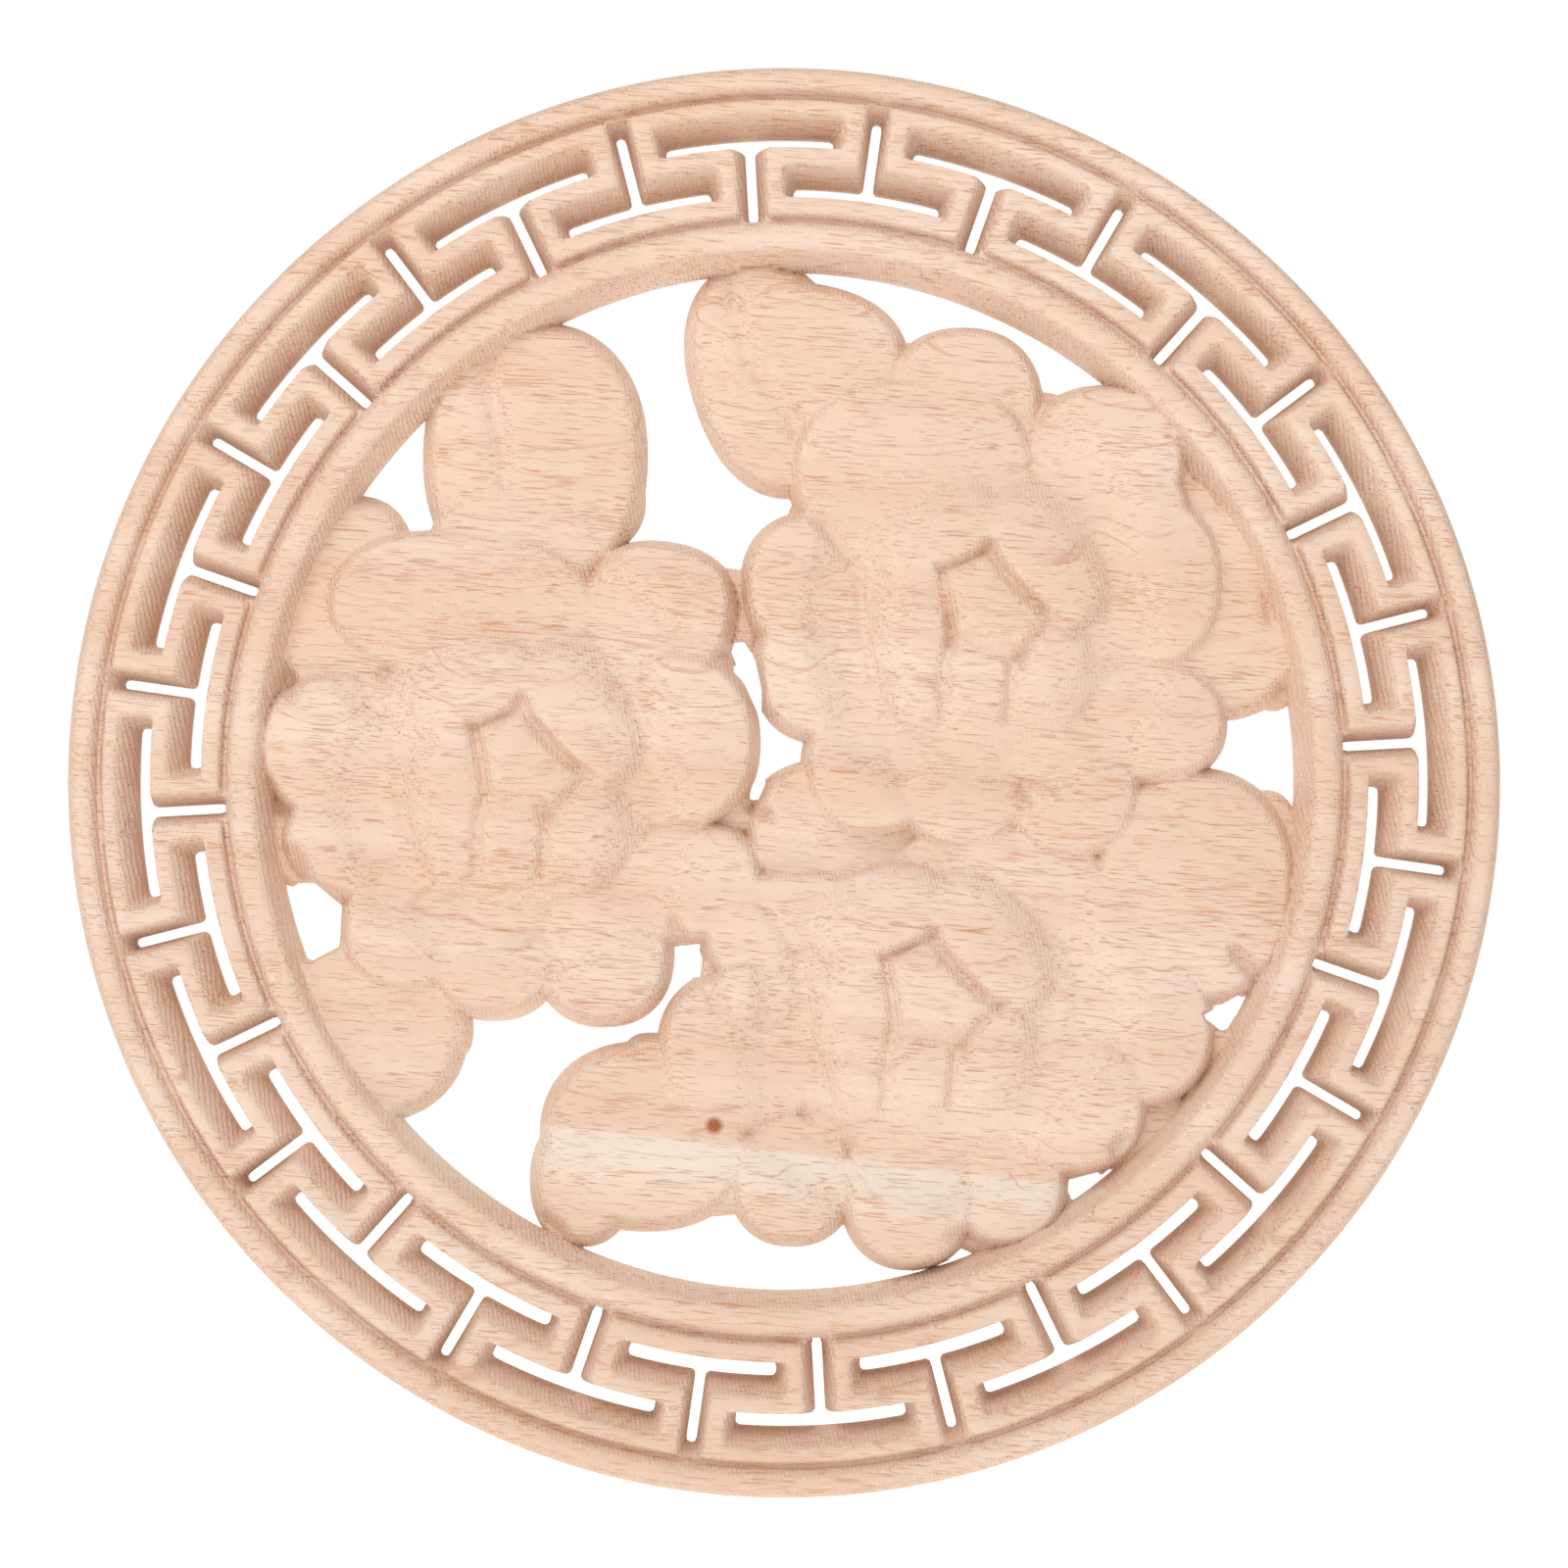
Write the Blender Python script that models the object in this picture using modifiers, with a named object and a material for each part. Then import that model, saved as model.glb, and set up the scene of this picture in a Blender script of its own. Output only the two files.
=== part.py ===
"""Carved wooden rosette: three peonies and their leaves, pierced, inside a ring with a key pattern.

The disc is modelled lying on its back, X to the right, Y up the picture and Z the height of the
carving, and the finished object is then turned upright, so that its face looks along -Y and the
middle of its flat back is the origin. It is one piece of wood, so it is one object.
"""

import math

import bmesh
import bpy
from mathutils import Matrix

MM = 0.001

# The ring, from outside in: radii and heights above the back, in millimetres
DISC_RADIUS = 150.0
OUTER_EDGE_HEIGHT = 6.5
OUTER_BEAD_INNER = 143.8
BEAD_CROWN = 10.6
GROOVE_HEIGHT = 8.6
BAND_OUTER = 142.9
BAND_INNER = 117.8
BAND_HEIGHT = 10.2
INNER_BEAD_OUTER = 116.9
INNER_BEAD_INNER = 110.7
PANEL_RADIUS = 107.7
PANEL_EDGE_HEIGHT = 3.0
RING_SEGMENTS = 64

# The key pattern: T-shaped slots, bar outermost and bar innermost in turn
KEY_REPEATS = 16
KEY_START = 3.2
SLOT_END_HEIGHT = 3.2
ELBOW_CUT = 1.2
BAR_STEPS = 1
# Each slot's through cut, and its mouth at the height of the band: the radii of the bar's two
# long sides, half the bar's angle in degrees, the radius where the stem ends, half its width
OUTWARD_SLOT = {
    "cut": (135.7, 132.8, 7.6, 117.4, 1.05),
    "mouth": (139.6, 132.5, 8.45, 116.8, 3.1),
}
INWARD_SLOT = {
    "cut": (122.2, 125.2, 7.2, 140.4, 1.05),
    "mouth": (121.9, 129.1, 8.2, 142.7, 2.6),
}

# Petals and leaves: centre across and up, half length, half width, turn in degrees,
# height of the rim and height of the crown
LEAVES = {
    "top_left": (-52.8, 68, 23.8, 28.8, 0, 5.5, 7.2),
    "top_blade": (-2.3, 84.8, 26, 17.8, 107, 5.4, 6.8),
    "top_wing": (5.5, 89.5, 20.8, 15.6, -12, 5.8, 7.4),
    "far_left": (-92.6, 37, 23, 14, 78, 4.6, 5.8),
    "low_left": (-90, -53, 23.5, 20, 0, 5.0, 6.6),
    "bottom": (-29, -75.3, 22.5, 20, 0, 5.6, 7.6),
    "bottom_tip": (-42.5, -84.5, 11, 14, 0, 5.0, 6.2),
    "far_right": (88.5, 35, 19, 23.5, 0, 4.8, 6.2),
    "right": (86, -23, 22, 25.3, 0, 5.6, 8.0),
}
LEFT_PETALS = {
    "back": (-57, 48, 18.5, 14.5, 0, 6.4, 7.8),
    "top_left": (-68, 36, 29, 16.5, -3, 7.8, 9.8),
    "top_right": (-26.5, 35.2, 17, 15, -8, 7.2, 9.2),
    "right": (-24.5, 7.5, 19.4, 19.5, 0, 7.8, 9.8),
    "left": (-91.5, 4, 17.5, 18, 0, 6.8, 8.8),
    "low_left": (-91.5, -13.5, 14.5, 12.3, -20, 7.4, 9.2),
    "low_far": (-79.5, -31.5, 14, 14.3, 0, 7.4, 9.2),
    "low_middle": (-61, -36, 14.5, 15.2, 0, 6.8, 8.8),
    "low_near": (-38, -37, 14.8, 15.5, 0, 7.4, 9.4),
    "low_right": (-22, -22, 18, 13.4, 8, 6.6, 8.4),
}
RIGHT_PETALS = {
    "top": (37.8, 78.6, 17, 17.2, 0, 6.6, 8.2),
    "top_right": (67.8, 67.5, 17.4, 16, 0, 7.0, 8.8),
    "top_left": (27, 64.5, 26.5, 20.5, 0, 7.8, 9.8),
    "left": (6, 40.5, 15.5, 16, 0, 7.2, 9.0),
    "low_left": (7.6, 23.2, 14.5, 16, 0, 7.4, 9.2),
    "right": (75, 41, 18, 19.5, 0, 7.6, 9.6),
    "low_right": (76, 11.5, 17.5, 13.5, 0, 7.2, 9.0),
    "low_far": (18, 2, 14.8, 15.2, 0, 7.6, 9.4),
    "low_middle": (37, 0, 14.8, 16.2, 0, 7.2, 9.0),
    "low_near": (60, -1, 15.2, 16.7, 0, 7.6, 9.4),
}
LOWER_PETALS = {
    "back": (9, -11.4, 17.5, 15.4, 0, 5.4, 6.8),
    "top": (44, -23, 24.5, 14.5, 0, 5.6, 7.2),
    "top_left": (4, -33, 22, 14, 0, 6.4, 8.0),
    "curl": (-6, -46, 10.5, 8.5, -8, 8.2, 10.0),
    "left": (-8.7, -57.4, 18.3, 17.6, 0, 7.2, 9.2),
    "low_left": (1.5, -84, 13.5, 14.5, 0, 6.6, 8.4),
    "low_middle": (26, -86, 14.8, 17.4, 0, 7.0, 8.8),
    "low_right": (46, -85, 13.5, 14, 0, 6.2, 7.8),
    "right_low": (60, -68.3, 16.3, 15.3, 0, 7.6, 9.6),
    "right": (72, -53, 18.7, 17, 0, 6.6, 8.6),
    "right_top": (64, -35, 18.3, 15.4, 0, 6.2, 7.8),
}
PETAL_DRAFT = 2.0
PETAL_SIDES = 14
PETAL_FULLNESS = 2.25
CROWN_SHARE = 0.55

# The low wood that the petals stand on: centre across and up, half length and half width
BEDS = {
    "left_flower": (-58, 1, 49, 43),
    "right_flower": (43, 36, 46, 44),
    "lower_flower": (30, -51, 50, 44),
    "cleft": (-12, 33.5, 7, 9.5),
    "centre_low": (-9.5, -7.5, 7, 5),
    "right_low_side": (92, -56, 5, 7),
    "left_side": (-103, 4, 8, 27),
    "upper_left": (-52.2, 58.5, 23.2, 14),
    "upper_left_notch": (-79, 47, 9, 6.5),
    "top_notch": (25, 86.5, 8, 6),
    "top_right_notch": (54, 74, 8, 8),
    "upper_right": (90, 61, 11, 11),
    "right_side": (103, 33, 8, 20),
    "lower_right_side": (101.5, -22.5, 9, 20),
    "low_right_corner": (77, -75.5, 10, 11),
    "low_corner": (47, -92, 14, 9),
    "bottom_notch": (-17, -84.5, 17, 9),
}
BED_RIM = 3.4
BED_CROWN = 4.0
BED_DRAFT = 1.0
BED_SIDES = 12

# The heart of a peony, the same in all three: its middle, then petals placed from that middle
HEART_CENTRES = {"left": (-56.5, 0), "right": (41, 33), "lower": (29, -48)}
HEART_SIZE = (25.5, 27.5, 9.0, 9.8)
HEART_PETALS = {
    "upper_left": (-9, 17.5, 15.5, 11.5, 20, 11.2, 12.6),
    "upper_right": (13.5, 13, 17.5, 10.5, -52, 11.2, 12.8),
    "left": (-15, -2.5, 9.5, 13, 0, 10.6, 12.0),
    "low_left": (-13.5, -16.5, 8.5, 8.5, 0, 10.0, 11.2),
    "low_middle": (-1, -15.5, 9.5, 11, 0, 10.6, 12.0),
    "low_right": (14.5, -11.5, 9.5, 12, -20, 10.4, 11.8),
}
HEART_DRAFT = 1.0
HEART_SIDES = 10
BUD_CORNERS = ((1.5, 15), (-9, 10.5), (-6.3, -5.3), (8.2, -9), (16, -0.3))
BUD_FLOOR = 9.6
BUD_GROOVE = 0.9
BUD_RIM = 10.8
BUD_CROWN = 12.4

BELOW_BACK = 1.5
ABOVE_FACE = 3.0

WOOD_COLOUR = (0.78, 0.57, 0.41, 1.0)
WOOD_ROUGHNESS = 0.72


def clear_scene():
    for old in list(bpy.data.objects):
        bpy.data.objects.remove(old, do_unlink=True)


def new_collection(name):
    made = bpy.data.collections.new(name)
    bpy.context.scene.collection.children.link(made)
    return made


def object_from(mesh, name, collection):
    """An object from a mesh made lying down, stood upright."""
    data = bpy.data.meshes.new(name)
    mesh.to_mesh(data)
    mesh.free()
    made = bpy.data.objects.new(name, data)
    made.rotation_euler = (math.pi / 2, 0, 0)
    collection.objects.link(made)
    return made


def hide_cutter(cutter):
    cutter.hide_render = True
    cutter.display_type = "WIRE"


def wood():
    material = bpy.data.materials.new("rubberwood")
    material.use_nodes = True
    shader = material.node_tree.nodes["Principled BSDF"]
    shader.inputs["Base Color"].default_value = WOOD_COLOUR
    shader.inputs["Roughness"].default_value = WOOD_ROUGHNESS
    return material


def polar(radius, angle):
    return (radius * math.cos(angle), radius * math.sin(angle))


def bead(outer, inner, outer_height, inner_height, crown, steps):
    """Points of a rounded moulding between two radii, from the outer one in."""
    points = []
    for step in range(steps + 1):
        share = step / steps
        base = outer_height + (inner_height - outer_height) * share
        lift = (crown - max(outer_height, inner_height)) * math.sin(math.pi * share)
        skirt = (max(outer_height, inner_height) - base) * math.sin(math.pi * share)
        points.append((outer + (inner - outer) * share, base + lift + skirt))
    return points


def ring_profile():
    """The ring's section, anticlockwise from its outer back edge, as radius and height."""
    section = [(DISC_RADIUS, -BELOW_BACK)]
    section += bead(DISC_RADIUS, OUTER_BEAD_INNER, OUTER_EDGE_HEIGHT, GROOVE_HEIGHT, BEAD_CROWN, 3)
    section += [(BAND_OUTER, BAND_HEIGHT), (BAND_INNER, BAND_HEIGHT)]
    section += bead(INNER_BEAD_OUTER, INNER_BEAD_INNER, GROOVE_HEIGHT, GROOVE_HEIGHT, BEAD_CROWN, 3)
    section += [(PANEL_RADIUS, PANEL_EDGE_HEIGHT), (PANEL_RADIUS, -BELOW_BACK)]
    return section


def make_ring(collection):
    mesh = bmesh.new()
    corners = [mesh.verts.new((r * MM, 0.0, h * MM)) for r, h in reversed(ring_profile())]
    for start, end in zip(corners, corners[1:] + corners[:1]):
        mesh.edges.new((start, end))
    ring = object_from(mesh, "carved_rosette", collection)
    turned = ring.modifiers.new("Turn", "SCREW")
    turned.steps = RING_SEGMENTS
    turned.render_steps = RING_SEGMENTS
    turned.use_merge_vertices = True
    turned.merge_threshold = 0.00001
    return ring


def slot_outline(long_side, short_side, half_angle, stem_end, stem_half):
    """A T in the plane: a curved bar with its stem on the side of short_side, about angle 0."""
    half_bar = math.radians(half_angle)
    towards_stem = math.copysign(1.0, short_side - long_side)
    edge = stem_half / short_side
    elbow = ELBOW_CUT / short_side
    half = [polar(long_side, half_bar * step / BAR_STEPS) for step in range(BAR_STEPS + 1)]
    half.append(polar(short_side, half_bar))
    half.append(polar(short_side, edge + elbow))
    half.append(polar(short_side + towards_stem * ELBOW_CUT, edge))
    half.append(polar(stem_end - towards_stem * stem_half, stem_half / stem_end))
    half.append(polar(stem_end, 0.0))
    mirrored = [(x, -y) for x, y in reversed(half[1:-1])]
    return half + mirrored


def loft(rings, name, collection):
    """A closed solid through rings of points, all with the same count, from the lowest up."""
    mesh = bmesh.new()
    layers = [[mesh.verts.new((x * MM, y * MM, h * MM)) for x, y, h in ring] for ring in rings]
    for lower, upper in zip(layers, layers[1:]):
        count = len(lower)
        for i in range(count):
            j = (i + 1) % count
            mesh.faces.new((lower[i], lower[j], upper[j], upper[i]))
    mesh.faces.new(list(reversed(layers[0])))
    mesh.faces.new(layers[-1])
    bmesh.ops.recalc_face_normals(mesh, faces=mesh.faces)
    return object_from(mesh, name, collection)


def slot_cutter(sizes, angle, name, collection):
    cut = slot_outline(*sizes["cut"])
    mouth = slot_outline(*sizes["mouth"])
    rise = ABOVE_FACE / (BAND_HEIGHT - SLOT_END_HEIGHT)
    above = [(mx + (mx - cx) * rise, my + (my - cy) * rise) for (cx, cy), (mx, my) in zip(cut, mouth)]
    rings = [
        [(x, y, -BELOW_BACK) for x, y in cut],
        [(x, y, SLOT_END_HEIGHT) for x, y in cut],
        [(x, y, BAND_HEIGHT + ABOVE_FACE) for x, y in above],
    ]
    cutter = loft(rings, name, collection)
    cutter.data.transform(Matrix.Rotation(math.radians(angle), 4, "Z"))
    hide_cutter(cutter)
    return cutter


def rounded(share):
    """A cosine or sine drawn towards its ends, which makes an oval fuller at its corners."""
    return math.copysign(abs(share) ** (2 / PETAL_FULLNESS), share)


def oval(x, y, half_length, half_width, turn, sides):
    cos_turn = math.cos(math.radians(turn))
    sin_turn = math.sin(math.radians(turn))
    points = []
    for side in range(sides):
        angle = 2 * math.pi * side / sides
        along = half_length * rounded(math.cos(angle))
        across = half_width * rounded(math.sin(angle))
        points.append((x + along * cos_turn - across * sin_turn, y + along * sin_turn + across * cos_turn))
    return points


def domed(sizes, draft, sides, name, collection):
    """A petal or leaf: sloping sides up to its rim, then a low dome."""
    x, y, half_length, half_width, turn, rim, crown = sizes
    spread = draft * BELOW_BACK / rim
    foot = oval(x, y, half_length + spread, half_width + spread, turn, sides)
    edge = oval(x, y, half_length - draft, half_width - draft, turn, sides)
    top = oval(x, y, half_length * CROWN_SHARE, half_width * CROWN_SHARE, turn, sides)
    rings = [
        [(px, py, -BELOW_BACK) for px, py in foot],
        [(px, py, rim) for px, py in edge],
        [(px, py, crown) for px, py in top],
    ]
    return loft(rings, name, collection)


def bud_ring(centre, grow, height):
    middle_x = sum(x for x, _ in BUD_CORNERS) / len(BUD_CORNERS)
    middle_y = sum(y for _, y in BUD_CORNERS) / len(BUD_CORNERS)
    ring = []
    for x, y in BUD_CORNERS:
        reach = math.hypot(x - middle_x, y - middle_y)
        scale = (reach + grow) / reach
        ring.append(
            (
                centre[0] + middle_x + (x - middle_x) * scale,
                centre[1] + middle_y + (y - middle_y) * scale,
                height,
            )
        )
    return ring


def join(target, others, name, operation):
    """One Boolean on the target with every object of a collection."""
    modifier = target.modifiers.new(name, "BOOLEAN")
    modifier.operation = operation
    modifier.operand_type = "COLLECTION"
    modifier.collection = others
    modifier.solver = "EXACT"


def make_key_slots():
    slots = new_collection("key slots")
    pitch = 360 / KEY_REPEATS
    for repeat in range(KEY_REPEATS):
        angle = KEY_START + repeat * pitch
        slot_cutter(OUTWARD_SLOT, angle, f"outward_slot_{repeat}", slots)
        slot_cutter(INWARD_SLOT, angle + pitch / 2, f"inward_slot_{repeat}", slots)
    return slots


def make_flowers():
    flowers = new_collection("petals and leaves")
    for group, petals in (
        ("leaf", LEAVES),
        ("left", LEFT_PETALS),
        ("right", RIGHT_PETALS),
        ("lower", LOWER_PETALS),
    ):
        for name, sizes in petals.items():
            domed(sizes, PETAL_DRAFT, PETAL_SIDES, f"{group}_{name}", flowers)
    for name, sizes in BEDS.items():
        domed((*sizes, 0, BED_RIM, BED_CROWN), BED_DRAFT, BED_SIDES, f"bed_{name}", flowers)
    for flower, (x, y) in HEART_CENTRES.items():
        domed((x, y, *HEART_SIZE[:2], 0, *HEART_SIZE[2:]), HEART_DRAFT, PETAL_SIDES, f"heart_{flower}", flowers)
        for name, sizes in HEART_PETALS.items():
            placed = (x + sizes[0], y + sizes[1], *sizes[2:])
            domed(placed, HEART_DRAFT, HEART_SIDES, f"heart_{flower}_{name}", flowers)
    for petal in flowers.objects:
        hide_cutter(petal)
    return flowers


def make_buds():
    recesses = new_collection("bud recesses")
    buds = new_collection("buds")
    for flower, centre in HEART_CENTRES.items():
        recess = loft(
            [bud_ring(centre, 0.0, BUD_FLOOR), bud_ring(centre, 1.2, BUD_CROWN + ABOVE_FACE)],
            f"recess_{flower}",
            recesses,
        )
        bud = loft(
            [
                bud_ring(centre, -BUD_GROOVE, BUD_FLOOR - ABOVE_FACE),
                bud_ring(centre, -BUD_GROOVE, BUD_RIM),
                bud_ring(centre, -BUD_GROOVE * 7, BUD_CROWN),
            ],
            f"bud_{flower}",
            buds,
        )
        hide_cutter(recess)
        hide_cutter(bud)
    return recesses, buds


def make_back_plane():
    planes = new_collection("back plane")
    mesh = bmesh.new()
    bmesh.ops.create_cube(mesh, size=1.0)
    side = 2.4 * DISC_RADIUS * MM
    depth = 6 * BELOW_BACK * MM
    mesh.transform(Matrix.Translation((0, 0, -depth / 2)) @ Matrix.Diagonal((side, side, depth, 1)))
    plane = object_from(mesh, "back_plane", planes)
    hide_cutter(plane)
    return planes


def main():
    clear_scene()
    rosette = new_collection("carved rosette")
    ring = make_ring(rosette)
    ring.data.materials.append(wood())
    recesses, buds = make_buds()
    join(ring, make_flowers(), "Carve the flowers", "UNION")
    join(ring, recesses, "Sink the hearts", "DIFFERENCE")
    join(ring, buds, "Carve the buds", "UNION")
    join(ring, make_key_slots(), "Cut the key", "DIFFERENCE")
    join(ring, make_back_plane(), "Plane the back", "DIFFERENCE")


main()
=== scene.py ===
import math

import bmesh
import bpy
import numpy as np
from mathutils import Matrix, Vector
from mathutils.geometry import delaunay_2d_cdt


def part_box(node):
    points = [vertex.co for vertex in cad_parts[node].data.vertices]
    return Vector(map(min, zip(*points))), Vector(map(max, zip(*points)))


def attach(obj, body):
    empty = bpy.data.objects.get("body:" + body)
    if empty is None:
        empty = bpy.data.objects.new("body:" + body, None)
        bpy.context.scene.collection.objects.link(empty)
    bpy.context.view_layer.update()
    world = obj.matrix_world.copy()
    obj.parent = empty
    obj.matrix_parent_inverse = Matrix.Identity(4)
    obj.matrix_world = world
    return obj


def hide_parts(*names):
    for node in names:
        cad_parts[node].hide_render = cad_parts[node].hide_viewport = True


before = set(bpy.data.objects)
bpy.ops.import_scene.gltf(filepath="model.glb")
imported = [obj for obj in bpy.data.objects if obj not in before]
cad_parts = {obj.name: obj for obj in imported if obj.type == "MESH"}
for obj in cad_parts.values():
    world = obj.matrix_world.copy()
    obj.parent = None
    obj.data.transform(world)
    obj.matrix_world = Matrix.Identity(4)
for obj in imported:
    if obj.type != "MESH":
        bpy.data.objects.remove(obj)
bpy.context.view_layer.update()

mm = 0.001
fullTurn = 2 * math.pi
boxLow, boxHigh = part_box("carved_rosette")
discRadius = round((boxHigh.x - boxLow.x) / 2 / mm, 2)

# The carving is worked out lying on its back, x right, y up the picture and z its height
# above the back, all in millimetres. The last step stands it upright in metres.

# the ring: mouldings and key pattern, heights above the flat back
ringSizes = {
    "edgeHeight": 6.5,
    "outerBeadInner": 143.8,
    "beadCrown": 10.7,
    "beadFullness": (2.2, 0.6),  # powers that shape the bead's round
    "grooveHeight": 8.1,
    "bandOuter": 142.9,
    "bandInner": 117.8,
    "bandHeight": 10.2,
    "shoulderDrop": 0.5,
    "bandEdge": (0.45, 0.35, 1.1),  # from its edge out to the groove, in to the shoulder and the flat
    "innerBeadOuter": 116.9,
    "innerBeadInner": 109.7,
    "panelRadius": 107.7,
    "panelEdgeHeight": 3.0,
    "wallFoot": ((0.45, -1.0), (1.0, -3.0)),
    "joinRadius": 114.0,  # ring and panel meet here, on the crown of the inner bead
    "repeats": 16,
    "startAngle": 3.2,  # degrees from the right to the middle of a slot whose bar is outermost
    "slotEdge": 3.0,  # height at which the sloping bank ends in the sawn-through part
    "ridgeEdge": 9.7,  # height where a bank meets the rounded ridge
    "bankPower": 0.8,
}
# radii of the bar's long and short side, half its angle, the stem's end, half the stem's width
outwardSlot = {"cut": (135.7, 132.8, 7.6, 117.4, 1.05), "mouth": (139.6, 132.5, 8.45, 116.8, 3.1)}
inwardSlot = {"cut": (122.2, 125.2, 7.2, 140.4, 1.05), "mouth": (121.9, 129.1, 8.2, 142.7, 2.6)}
# how finely the ring's surface is divided
ringMesh = {
    "bankLevels": (0.0, 0.33, 0.66, 1.0),
    "spacing": 0.9,
    "outlineStep": 0.25,
    "cornerSteps": 8,
    "cornerReach": 4,  # rounds the corners as the cutter does
    "stepsPerRepeat": 45,  # points round the joining circle in one repeat
    "rimSteps": 55,
    "borderSteps": 9,
    "borderGap": (0.5, 0.45),
    "middleRadius": 130.0,
    "mouldingRows": (149.7, 149.0, 147.9, 146.6, 145.4, 144.4, 143.8, 143.35, 142.9, 142.55,
                     118.15, 117.8, 117.35, 116.9, 116.3, 115.2),
    "ridgeRows": (119.0, 142.0, 0.95),
    "rowSpacing": 1.0,
    "borderClearance": 0.5,
    "slotClearance": 0.7,
}


def beadPoints(outer, inner, outerHeight, innerHeight, steps=12):
    points = []
    sidePower, roundPower = ringSizes["beadFullness"]
    for step in range(steps + 1):
        share = step / steps
        base = outerHeight + (innerHeight - outerHeight) * share
        swell = (1 - abs(2 * share - 1) ** sidePower) ** roundPower
        points.append((outer + (inner - outer) * share, base + (ringSizes["beadCrown"] - base) * swell))
    return points


def ringSection():
    s = ringSizes
    groove, shoulder = s["grooveHeight"], s["bandHeight"] - s["shoulderDrop"]
    floorOut, shoulderIn, flatIn = s["bandEdge"]
    section = beadPoints(discRadius, s["outerBeadInner"], s["edgeHeight"], groove)
    for edge, inward in ((s["bandOuter"], -1), (s["bandInner"], 1)):
        section += [(edge - floorOut * inward, groove), (edge, groove - 0.1)]
        section += [(edge + shoulderIn * inward, shoulder), (edge + flatIn * inward, s["bandHeight"])]
    section += beadPoints(s["innerBeadOuter"], s["innerBeadInner"], groove, groove)
    section.append((s["panelRadius"], s["panelEdgeHeight"]))
    section += [(s["panelRadius"] - inward, height) for inward, height in s["wallFoot"]]
    return section


sectionRadii, sectionHeights = zip(*sorted(ringSection()))


def ringHeight(radius):
    return np.interp(radius, sectionRadii, sectionHeights)


def bankHeight(level):
    s = ringSizes
    return s["slotEdge"] + (s["ridgeEdge"] - s["slotEdge"]) * level ** s["bankPower"]


# below 0 inside the sawn slot, 0 to 1 on its banks, above 1 outside; the angle is from the slot's axis
def slotDepth(radius, angle, slot):
    cutLong, cutShort, cutAngle, cutEnd, cutHalf = slot["cut"]
    topLong, topShort, topAngle, topEnd, topHalf = slot["mouth"]
    longSide = (radius - cutLong) / (topLong - cutLong)
    shortSide = (radius - cutShort) / (topShort - cutShort)
    barEnd = (np.degrees(np.abs(angle)) - cutAngle) / (topAngle - cutAngle)
    stemSide = (radius * np.abs(np.sin(angle)) - cutHalf) / (topHalf - cutHalf)
    stemEnd = (radius - cutEnd) / (topEnd - cutEnd)
    bar = np.maximum(np.maximum(longSide, shortSide), barEnd)
    stem = np.maximum(np.maximum(stemSide, stemEnd), longSide)
    return np.minimum(bar, stem)


def nearestSlot(radius, angle):
    halfPitch = math.pi / ringSizes["repeats"]
    return min(slotDepth(radius, angle, outwardSlot), slotDepth(radius, abs(angle) - halfPitch, inwardSlot))


# half of the T at one level of its bank, from the long side's middle round to the stem's end
def halfOutline(slot, level):
    sizes = (a + (b - a) * level for a, b in zip(slot["cut"], slot["mouth"]))
    longSide, shortSide, barAngle, stemEnd, stemHalf = sizes
    barAngle = math.radians(barAngle)
    stemAngle = stemHalf / shortSide
    shares = np.linspace(0, 1, ringMesh["cornerSteps"] + 1)
    corners = [(longSide, barAngle * share) for share in shares]
    corners += [(shortSide, barAngle + (stemAngle - barAngle) * share) for share in shares]
    corners += [(stemEnd, stemHalf / stemEnd), (stemEnd, 0.0)]
    half = [(r * math.cos(a), r * math.sin(a)) for r, a in corners]
    whole = half + [(x, -y) for x, y in reversed(half[1:-1])]
    dense = resample(whole + whole[:1], ringMesh["outlineStep"])[:-1]
    reach = ringMesh["cornerReach"]
    smooth = sum(np.roll(dense, k, axis=0) for k in range(-reach, reach + 1)) / (2 * reach + 1)
    onLongSide = np.sign(smooth[:, 0] - (longSide + stemEnd) / 2) == np.sign(longSide - stemEnd)
    fromAxis = np.abs(smooth[:, 1])
    start = int(np.argmin(np.where(onLongSide, fromAxis, np.inf)))
    end = int(np.argmin(np.where(onLongSide, np.inf, fromAxis)))
    path = np.roll(smooth, -start, axis=0)[: (end - start) % len(smooth) + 1]
    if path[len(path) // 2][1] < 0:
        path = path[::-1]
    path[0, 1] = 0.0
    path[-1, 1] = 0.0
    return resample(path, ringMesh["spacing"])


def resample(points, spacing):
    points = np.asarray(points, float)
    run = np.concatenate([[0], np.cumsum(np.hypot(*np.diff(points, axis=0).T))])
    count = max(2, int(round(run[-1] / spacing)) + 1)
    at = np.linspace(0, run[-1], count)
    return np.stack([np.interp(at, run, points[:, 0]), np.interp(at, run, points[:, 1])], 1)


def turned(points, angle):
    points = np.asarray(points, float)
    c, s = math.cos(angle), math.sin(angle)
    return np.stack([points[:, 0] * c - points[:, 1] * s, points[:, 0] * s + points[:, 1] * c], 1)


def onArc(radius, angles):
    return np.stack([radius * np.cos(angles), radius * np.sin(angles)], 1)


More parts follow.
